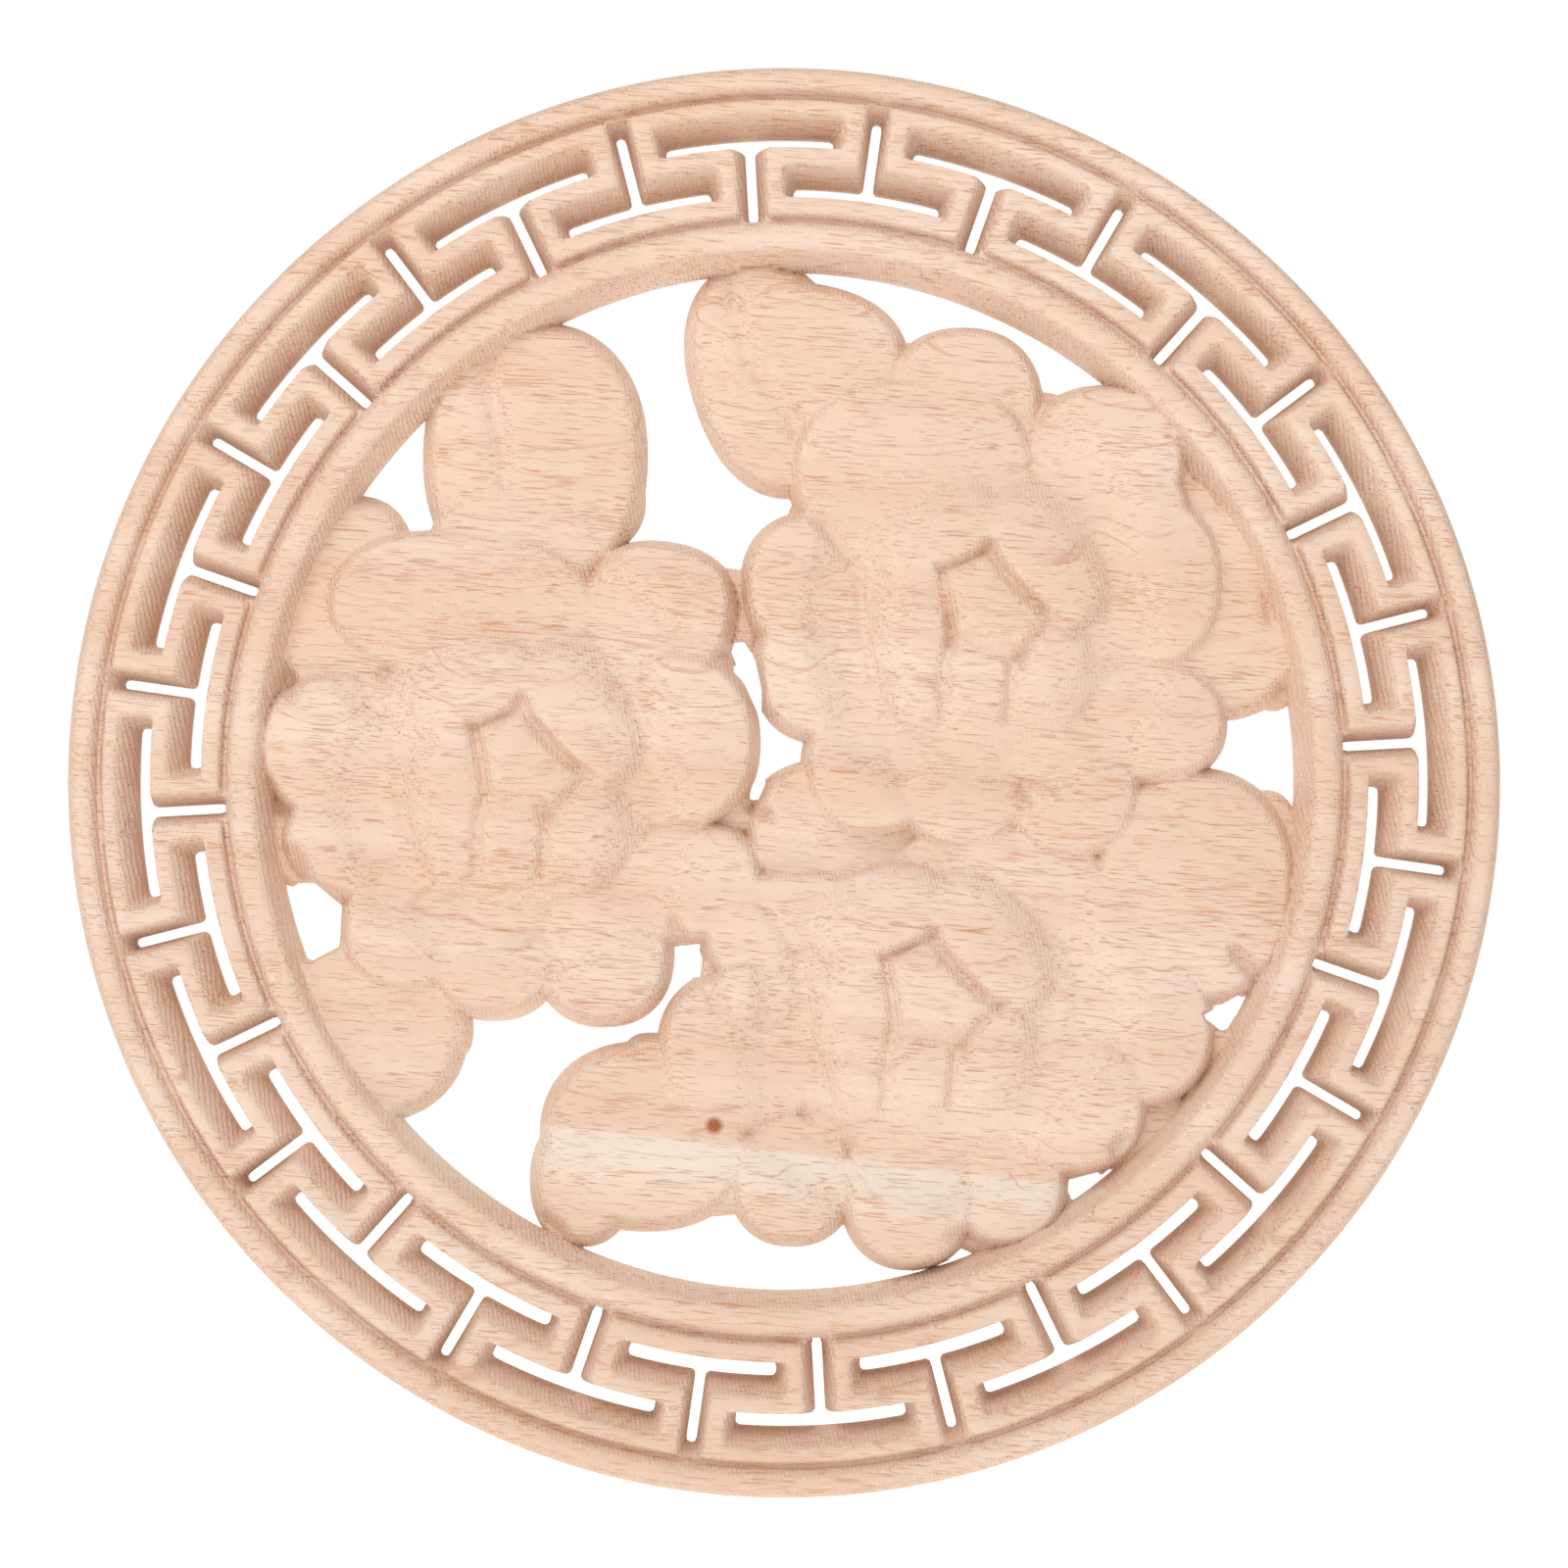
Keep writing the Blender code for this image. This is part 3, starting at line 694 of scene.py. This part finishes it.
def flowerPanel():
    s = ringSizes
    heights = panelHeights()
    keep = keptPoints(heights)
    sheet = PointSet()
    for x, y, h in zip(gridAcross[keep], gridUp[keep], heights[keep]):
        sheet.add((x, y), h)
    for radius, count in zip(panelGrid["circles"], panelGrid["circlePoints"]):
        points = onArc(radius, np.arange(count) * fullTurn / count)
        for point, height in zip(points, heightAt(heights, points)):
            sheet.add(point, height)
    count = s["repeats"] * ringMesh["stepsPerRepeat"]
    first = math.radians(s["startAngle"]) - math.pi / s["repeats"]
    circle = onArc(s["joinRadius"], first + fullTurn * np.arange(count + 1) / count)
    circle[-1] = circle[0]
    sheet.path(circle, [ringHeight(s["joinRadius"])] * len(circle))
    verts, faces = sheet.triangles()
    mesh = bmesh.new()
    made = [mesh.verts.new(v * mm) for v in verts]
    for face in faces:
        if verts[list(face), 2].max() > 0:
            mesh.faces.new([made[i] for i in face])
    everything = mesh.verts[:] + mesh.edges[:] + mesh.faces[:]
    bmesh.ops.bisect_plane(
        mesh, geom=everything, dist=1e-7, plane_co=(0, 0, 0), plane_no=(0, 0, 1), clear_inner=True
    )
    bmesh.ops.triangulate(mesh, faces=mesh.faces[:])
    bmesh.ops.delete(mesh, geom=[v for v in mesh.verts if not v.link_faces], context="VERTS")
    return meshFrom(mesh, "flowerPanel")


# adds a node and gives back its outputs; an input is a value or another node's output
def addNode(tree, kind, inputs={}, **settings):
    node = tree.nodes.new(kind)
    for name, value in settings.items():
        setattr(node, name, value)
    for label, value in inputs.items():
        if isinstance(value, bpy.types.NodeSocket):
            tree.links.new(value, node.inputs[label])
        else:
            node.inputs[label].default_value = value
    return node.outputs


def mathNode(tree, operation, *values, clamp=False):
    return addNode(tree, "ShaderNodeMath", dict(enumerate(values)), operation=operation, use_clamp=clamp)[0]


# sets the ring's repeat all round, joins the panel and stands both upright
def repeatRound():
    tree = bpy.data.node_groups.new("repeatRound", "GeometryNodeTree")
    face = tree.interface
    face.new_socket("Geometry", in_out="INPUT", socket_type="NodeSocketGeometry")
    kinds = {"Panel": "Object", "Repeats": "Int", "Start Angle": "Float", "Material": "Material"}
    sockets = {
        label: face.new_socket(label, in_out="INPUT", socket_type="NodeSocket" + kind).identifier
        for label, kind in kinds.items()
    }
    face.new_socket("Geometry", in_out="OUTPUT", socket_type="NodeSocketGeometry")
    given = addNode(tree, "NodeGroupInput")
    points = addNode(tree, "GeometryNodePoints", {"Count": given["Repeats"]})[0]
    index = addNode(tree, "GeometryNodeInputIndex")[0]
    pitch = mathNode(tree, "DIVIDE", fullTurn, given["Repeats"])
    angle = mathNode(tree, "MULTIPLY_ADD", index, pitch, given["Start Angle"])
    turn = addNode(tree, "ShaderNodeCombineXYZ", {"Z": angle})[0]
    placing = {"Points": points, "Instance": given["Geometry"], "Rotation": turn}
    copies = addNode(tree, "GeometryNodeInstanceOnPoints", placing)[0]
    middle = addNode(tree, "GeometryNodeObjectInfo", {"Object": given["Panel"]})["Geometry"]
    joined = addNode(tree, "GeometryNodeJoinGeometry", {0: copies})[0]
    tree.links.new(middle, joined.node.inputs[0])
    upright = addNode(tree, "GeometryNodeTransform", {"Geometry": joined, "Rotation": (math.pi / 2, 0, 0)})[0]
    real = addNode(tree, "GeometryNodeRealizeInstances", {0: upright})[0]
    coat = addNode(tree, "GeometryNodeSetMaterial", {"Geometry": real, "Material": given["Material"]})[0]
    tree.links.new(coat, tree.nodes.new("NodeGroupOutput").inputs[0])
    return tree, sockets


# the triangles that lie inside the border: each crossing of a border line changes the side
def insideBorder(faces, names, border):
    sides, faceLines, state = {}, [], {}
    for number, face in enumerate(faces):
        own = [tuple(sorted((names[a], names[b]))) for a, b in zip(face, face[1:] + face[:1])]
        faceLines.append(own)
        for line in own:
            sides.setdefault(line, []).append(number)
    for line, around in sides.items():
        if len(around) == 1:
            state[around[0]] = line in border
    queue = list(state)
    while queue:
        number = queue.pop()
        for line in faceLines[number]:
            for other in sides[line]:
                if other not in state:
                    state[other] = state[number] != (line in border)
                    queue.append(other)
    return [face for number, face in enumerate(faces) if state.get(number)]


# welds the joints and fills the flat back between every border that the carving left open
def closeBack(data, weld):
    mesh = bmesh.new()
    mesh.from_mesh(data)
    bmesh.ops.remove_doubles(mesh, verts=mesh.verts[:], dist=weld)
    mesh.verts.index_update()
    mesh.verts.ensure_lookup_table()
    border = [e for e in mesh.edges if len(e.link_faces) == 1]
    ids = sorted({v.index for e in border for v in e.verts})
    place = {v: k for k, v in enumerate(ids)}
    flat = [Vector((mesh.verts[i].co.x / mm, mesh.verts[i].co.z / mm)) for i in ids]
    lines = [(place[e.verts[0].index], place[e.verts[1].index]) for e in border]
    _, _, faces, origin, *_ = delaunay_2d_cdt(flat, lines, [], 0, 1e-6)
    names = [o[0] if o else None for o in origin]
    for face in insideBorder(faces, names, {tuple(sorted(line)) for line in lines}):
        corners = [mesh.verts[ids[names[i]]] for i in face]
        if not mesh.faces.get(corners):
            mesh.faces.new(corners)
    bmesh.ops.recalc_face_normals(mesh, faces=mesh.faces[:])
    bmesh.ops.triangulate(mesh, faces=mesh.faces[:])
    openEdges = sum(1 for e in mesh.edges if len(e.link_faces) != 2)
    mesh.to_mesh(data)
    mesh.free()
    return openEdges


def effect(name, inputs, outputs):
    tree = bpy.data.node_groups.new(name, "ShaderNodeTree")
    tree.interface.new_socket("Vector", in_out="INPUT", socket_type="NodeSocketVector")
    for side, labels in (("INPUT", inputs), ("OUTPUT", outputs)):
        for label in labels:
            tree.interface.new_socket(label, in_out=side, socket_type="NodeSocketFloat")
    return tree, addNode(tree, "NodeGroupInput"), tree.nodes.new("NodeGroupOutput").inputs


def rangeNode(tree, value, *ends):
    labels = ("Value", "From Min", "From Max", "To Min", "To Max")
    return addNode(tree, "ShaderNodeMapRange", dict(zip(labels, (value, *ends))))["Result"]


# noise with its own scale in each direction, larger numbers for finer grain
def noiseNode(tree, vector, scale, detail, rough):
    place = addNode(tree, "ShaderNodeMapping", {"Vector": vector, "Scale": scale})[0]
    inputs = {"Vector": place, "Scale": 1.0, "Detail": detail, "Roughness": rough}
    return addNode(tree, "ShaderNodeTexNoise", inputs)["Fac"]


def turnedPlace(tree, vector, angle):
    inputs = {"Vector": vector, "Angle": angle}
    return addNode(tree, "ShaderNodeVectorRotate", inputs, rotation_type="Y_AXIS")[0]


def split(tree, vector):
    return addNode(tree, "ShaderNodeSeparateXYZ", {0: vector})


# scale across, forward and up the piece, detail and roughness of each noise
grainLook = {
    "band": ((7, 30, 58), 3.0, 0.55),
    "streak": ((26, 200, 640), 3.0, 0.6),
    "vessel": ((150, 1400, 4600), 1.0, 0.4),
    "crowd": ((24, 80, 150), 2.0, 0.5),  # in some places more vessels than in others
    "crowdRange": (0.32, 0.68, 0.67, 0.57),
    "vesselContrast": 17.0,
    "wander": ((90, 90, 260), 2.0, 0.6),
    "wanderHeight": 0.0012,
    "layer": ((4, 1, 60), 0.5, 0.4),
    "layers": 9.0,
    "layerWidth": 0.05,
    "broken": ((60, 60, 200), 2.0, 0.6),
    "brokenRange": (0.40, 0.62),
}
cutterLook = {
    "pitch": 0.87,  # millimetres from one line to the next
    "tilt": 10.0,
    "wander": ((240, 240, 240), 2.0, 0.5),
    "wanderShare": 1.1,
    "fuzz": ((2600, 1500, 1500), 2.0, 0.6),
}


# broad tone bands, fine streaks, short dark vessel lines and long growth lines
def woodGrain():
    look = grainLook
    tree, given, out = effect("woodGrain", ("Tilt", "Lean"), ("Band", "Streak", "Vessel", "Growth"))
    link = tree.links.new
    grain = turnedPlace(tree, given["Vector"], given["Tilt"])
    link(noiseNode(tree, grain, *look["band"]), out["Band"])
    link(noiseNode(tree, grain, *look["streak"]), out["Streak"])
    limit = rangeNode(tree, noiseNode(tree, grain, *look["crowd"]), *look["crowdRange"])
    dash = mathNode(tree, "SUBTRACT", noiseNode(tree, grain, *look["vessel"]), limit)
    link(mathNode(tree, "MULTIPLY", dash, look["vesselContrast"], clamp=True), out["Vessel"])
    # a growth line runs where a slow wave passes its middle, leaning back into the wood
    across, forward, up = split(tree, grain)
    height = mathNode(tree, "SUBTRACT", up, mathNode(tree, "MULTIPLY", forward, given["Lean"]))
    wander = noiseNode(tree, grain, *look["wander"])
    height = mathNode(tree, "MULTIPLY_ADD", wander, look["wanderHeight"], height)
    layer = addNode(tree, "ShaderNodeCombineXYZ", {"X": across, "Z": height})[0]
    wave = noiseNode(tree, layer, *look["layer"])
    folds = mathNode(tree, "PINGPONG", mathNode(tree, "MULTIPLY", wave, look["layers"]), 0.5)
    thin = rangeNode(tree, folds, look["layerWidth"], 0.0)
    broken = rangeNode(tree, noiseNode(tree, grain, *look["broken"]), *look["brokenRange"])
    link(mathNode(tree, "MULTIPLY", thin, broken), out["Growth"])
    return tree


# fine parallel cutter lines, nearly upright, and the fuzz of torn fibres
def cutterMarks():
    look = cutterLook
    tree, given, out = effect("cutterMarks", ("Pitch", "Tilt"), ("Line", "Fuzz"))
    place = turnedPlace(tree, given["Vector"], given["Tilt"])
    count = mathNode(tree, "DIVIDE", split(tree, place)["X"], given["Pitch"])
    wander = noiseNode(tree, place, *look["wander"])
    count = mathNode(tree, "MULTIPLY_ADD", wander, look["wanderShare"], count)
    wave = mathNode(tree, "SINE", mathNode(tree, "MULTIPLY", count, fullTurn))
    tree.links.new(mathNode(tree, "MULTIPLY_ADD", wave, 0.5, 0.5), out["Line"])
    tree.links.new(noiseNode(tree, place, *look["fuzz"]), out["Fuzz"])
    return tree


woodLook = {
    "pale": (0.825, 0.645, 0.52, 1.0),
    "pink": (0.775, 0.54, 0.405, 1.0),
    "bandRange": (0.38, 0.62),
    "streakRange": (0.40, 0.72, 0.0, 0.45),
    "bank": (0.67, 0.45, 0.32, 1.0),  # rough end grain and painted shade on the carved slopes, darker the steeper they face
    "bankGrainAndShadeShare": (0.16, 0.40),  # of this end grain and painted shade in the panel and in the ring
    "slopeRange": (0.96, 0.70),
    "hollowRange": (0.997, 0.94),
    "fibre": (0.90, 0.76, 0.64, 1.0),
    "fibreRange": (0.52, 0.70, 0.0, 0.5),
    "growthLine": (0.58, 0.30, 0.185, 1.0),
    "growthShare": 0.6,
    "vessel": (0.55, 0.25, 0.12, 1.0),
    "redVessel": (0.70, 0.26, 0.08, 1.0),
    "redRange": (0.5, 0.62),
    "vesselShare": 0.7,
    "strip": (0.83, 0.715, 0.60, 1.0),
    "stripAt": -78.6,  # height of the glued joint at the middle
    "stripSlope": -0.115,
    "stripFade": (4.0, 13.0, 0.75, 0.12),  # from this far below the joint to that, share of the pale tone
    "knot": (0.36, 0.09, 0.03, 1.0),
    "knotAt": (-14.8, -73.0),
    "knotRange": (2.3, 1.0, 0.0, 0.92),
    "grainTilt": 4.0,
    "layerLean": 1.7,  # how far a growth line climbs for each step forward
    "roughness": 0.72,
    "specular": 0.25,
    "lineHeight": (0.8, 0.08),  # of the cutter lines on slopes, and anywhere
    "fuzzHeight": (0.5, 0.2),
    "vesselHeight": -0.4,
    "bumpStrength": 0.6,
    "bumpDistance": 0.25,
}


def rubberwood():
    look = woodLook
    material = bpy.data.materials.new("rubberwood")
    material.use_nodes = True
    tree = material.node_tree
    shader = tree.nodes["Principled BSDF"]
    coords = addNode(tree, "ShaderNodeTexCoord")
    place = coords["Object"]
    across, _, up = split(tree, place)
    facing = split(tree, coords["Normal"])["Y"]

    def mix(amount, a, b):
        return addNode(tree, "ShaderNodeMix", {"Factor": amount, "A": a, "B": b}, data_type="RGBA")["Result"]

    def times(a, b):
        return mathNode(tree, "MULTIPLY", a, b)

    values = {"Vector": place, "Tilt": math.radians(-look["grainTilt"]), "Lean": look["layerLean"]}
    grain = addNode(tree, "ShaderNodeGroup", values, node_tree=woodGrain())
    values = {"Vector": place, "Tilt": math.radians(cutterLook["tilt"]), "Pitch": cutterLook["pitch"] * mm}
    marks = addNode(tree, "ShaderNodeGroup", values, node_tree=cutterMarks())
    level = mathNode(tree, "ABSOLUTE", facing)
    slope = rangeNode(tree, level, *look["slopeRange"])
    hollow = rangeNode(tree, level, *look["hollowRange"])
    flat = addNode(tree, "ShaderNodeCombineXYZ", {"X": across, "Z": up})[0]
    fromMiddle = addNode(tree, "ShaderNodeVectorMath", {0: flat}, operation="LENGTH")["Value"]
    panelEdge = ringSizes["panelRadius"] * mm
    tone = mix(rangeNode(tree, grain["Band"], *look["bandRange"]), look["pale"], look["pink"])
    tone = mix(rangeNode(tree, grain["Streak"], *look["streakRange"]), tone, look["pink"])
    # the lowest strip of the panel is another piece of wood, glued on, and palest beside the joint
    joint = mathNode(tree, "MULTIPLY_ADD", across, -look["stripSlope"], up)
    line = look["stripAt"] * mm
    near, far, *shares = look["stripFade"]
    strip = rangeNode(tree, joint, line + 0.2 * mm, line - 0.2 * mm)
    strip = times(strip, rangeNode(tree, fromMiddle, panelEdge + 4 * mm, panelEdge))
    fade = rangeNode(tree, joint, line - near * mm, line - far * mm, *shares)
    tone = mix(times(strip, fade), tone, look["strip"])
    # painted shade and rough end grain: steep slopes are mixed towards the darker bank tone, more in the ring
    # than in the panel
    share = rangeNode(tree, fromMiddle, panelEdge - mm, panelEdge + 3 * mm, *look["bankGrainAndShadeShare"])
    tone = mix(times(slope, share), tone, look["bank"])
    tone = mix(times(grain["Growth"], look["growthShare"]), tone, look["growthLine"])
    dash = mix(rangeNode(tree, grain["Streak"], *look["redRange"]), look["vessel"], look["redVessel"])
    tone = mix(times(grain["Vessel"], look["vesselShare"]), tone, dash)
    tone = mix(times(rangeNode(tree, marks["Fuzz"], *look["fibreRange"]), hollow), tone, look["fibre"])
    knotX, knotZ = look["knotAt"]
    outer, inner, *shares = look["knotRange"]
    values = {0: flat, 1: (knotX * mm, 0, knotZ * mm)}
    fromKnot = addNode(tree, "ShaderNodeVectorMath", values, operation="DISTANCE")["Value"]
    tone = mix(rangeNode(tree, fromKnot, outer * mm, inner * mm, *shares), tone, look["knot"])
    tree.links.new(tone, shader.inputs["Base Color"])
    shader.inputs["Roughness"].default_value = look["roughness"]
    shader.inputs["Specular IOR Level"].default_value = look["specular"]
    # cutter lines stand out on the slopes, fuzz there and in the hollows
    lines = times(marks["Line"], mathNode(tree, "MULTIPLY_ADD", slope, *look["lineHeight"]))
    fuzz = times(marks["Fuzz"], mathNode(tree, "MULTIPLY_ADD", hollow, *look["fuzzHeight"]))
    height = mathNode(tree, "ADD", lines, fuzz)
    height = mathNode(tree, "MULTIPLY_ADD", grain["Vessel"], look["vesselHeight"], height)
    values = {"Strength": look["bumpStrength"], "Distance": look["bumpDistance"] * mm, "Height": height}
    tree.links.new(addNode(tree, "ShaderNodeBump", values)[0], shader.inputs["Normal"])
    return material


# the rosette: sixteen repeats of the ring and the panel become one closed mesh
build = {"weld": 0.004, "sharpAngle": 50.0}
material = rubberwood()
print("wood made")
rosette = bpy.data.objects.new("carvedRosette", ringRepeat())
bpy.context.scene.collection.objects.link(rosette)
print("ring repeat made,", len(rosette.data.polygons), "faces")
panel = bpy.data.objects.new("flowerPanel", flowerPanel())
bpy.context.scene.collection.objects.link(panel)
print("flower panel made,", len(panel.data.polygons), "faces")
tree, sockets = repeatRound()
modifier = rosette.modifiers.new("repeatRound", "NODES")
modifier.node_group = tree
modifier[sockets["Panel"]] = panel
modifier[sockets["Repeats"]] = ringSizes["repeats"]
modifier[sockets["Start Angle"]] = math.radians(ringSizes["startAngle"])
modifier[sockets["Material"]] = material
depsgraph = bpy.context.evaluated_depsgraph_get()
solid = bpy.data.meshes.new_from_object(rosette.evaluated_get(depsgraph))
rosette.modifiers.remove(modifier)
rosette.data = solid
bpy.data.objects.remove(panel)
print("back closed, edges left open:", closeBack(solid, build["weld"] * mm))
solid.materials.clear()
solid.materials.append(material)
for polygon in solid.polygons:
    polygon.material_index = 0
    polygon.use_smooth = True
solid.set_sharp_from_angle(angle=math.radians(build["sharpAngle"]))
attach(rosette, "root")
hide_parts("carved_rosette")
print("rosette made,", len(solid.polygons), "faces")

# floor, light and camera
stageLook = {
    "floorBelow": 0.25,
    "floorSize": 8.0,
    "floorTone": 0.95,
    "floorGlow": 0.45,
    "frontLight": 0.42,  # the surroundings on the photographer's side
    "backLight": 1.02,  # and behind the carving
    "blend": (-0.2, 0.5),
    "keyPower": 9.5,
    "keySize": 0.9,
    "keyAt": (-0.35, -0.9, 0.95),
}
floorMesh = bmesh.new()
bmesh.ops.create_grid(floorMesh, x_segments=1, y_segments=1, size=stageLook["floorSize"] / 2)
floorMesh.transform(Matrix.Translation((0, 0, -stageLook["floorBelow"])))
floor = bpy.data.objects.new("floor", meshFrom(floorMesh, "floor"))
bpy.context.scene.collection.objects.link(floor)
floorLook = bpy.data.materials.new("paleFloor")
floorLook.use_nodes = True
floorShader = floorLook.node_tree.nodes["Principled BSDF"]
floorShader.inputs["Base Color"].default_value = (*[stageLook["floorTone"]] * 3, 1)
floorShader.inputs["Emission Color"].default_value = (1, 1, 1, 1)
floorShader.inputs["Emission Strength"].default_value = stageLook["floorGlow"]
floor.data.materials.append(floorLook)

world = bpy.data.worlds.new("studio")
bpy.context.scene.world = world
world.use_nodes = True
backdrop = world.node_tree.nodes["Background"]
backdrop.inputs["Color"].default_value = (1, 1, 1, 1)
direction = addNode(world.node_tree, "ShaderNodeTexCoord")["Generated"]
forward = split(world.node_tree, direction)["Y"]
levels = (stageLook["frontLight"], stageLook["backLight"])
strength = rangeNode(world.node_tree, forward, *stageLook["blend"], *levels)
world.node_tree.links.new(strength, backdrop.inputs["Strength"])

lamp = bpy.data.lights.new("keyLight", "AREA")
lamp.energy = stageLook["keyPower"]
lamp.size = stageLook["keySize"]
key = bpy.data.objects.new("keyLight", lamp)
key.location = stageLook["keyAt"]
key.rotation_euler = (-key.location).to_track_quat("-Z", "Y").to_euler()
bpy.context.scene.collection.objects.link(key)
print("floor and light set")

# the camera as measured from the picture, whose frame is 1600 by 1600
shot = {
    "azimuth": -0.5,
    "elevation": -3.3,
    "distance": 0.93,
    "pixelsPerMm": 4.837,
    "middle": (800.9, 793.9),
    "frame": 1600.0,
    "sensor": 36.0,
    "clip": (0.01, 50.0),
}
lens = bpy.data.cameras.new("camera")
camera = bpy.data.objects.new("camera", lens)
bpy.context.scene.collection.objects.link(camera)
azimuth, elevation = math.radians(shot["azimuth"]), math.radians(shot["elevation"])
level = math.cos(elevation)
away = Vector((math.sin(azimuth) * level, -math.cos(azimuth) * level, math.sin(elevation)))
camera.location = away * shot["distance"]
camera.rotation_euler = (-away).to_track_quat("-Z", "Y").to_euler()
lens.sensor_width = shot["sensor"]
lens.lens = shot["distance"] / mm * shot["pixelsPerMm"] / shot["frame"] * shot["sensor"]
lens.shift_x = (shot["frame"] / 2 - shot["middle"][0]) / shot["frame"]
lens.shift_y = (shot["middle"][1] - shot["frame"] / 2) / shot["frame"]
lens.clip_start, lens.clip_end = shot["clip"]
bpy.context.scene.camera = camera
bpy.context.scene.view_settings.view_transform = "Standard"
print("camera set")
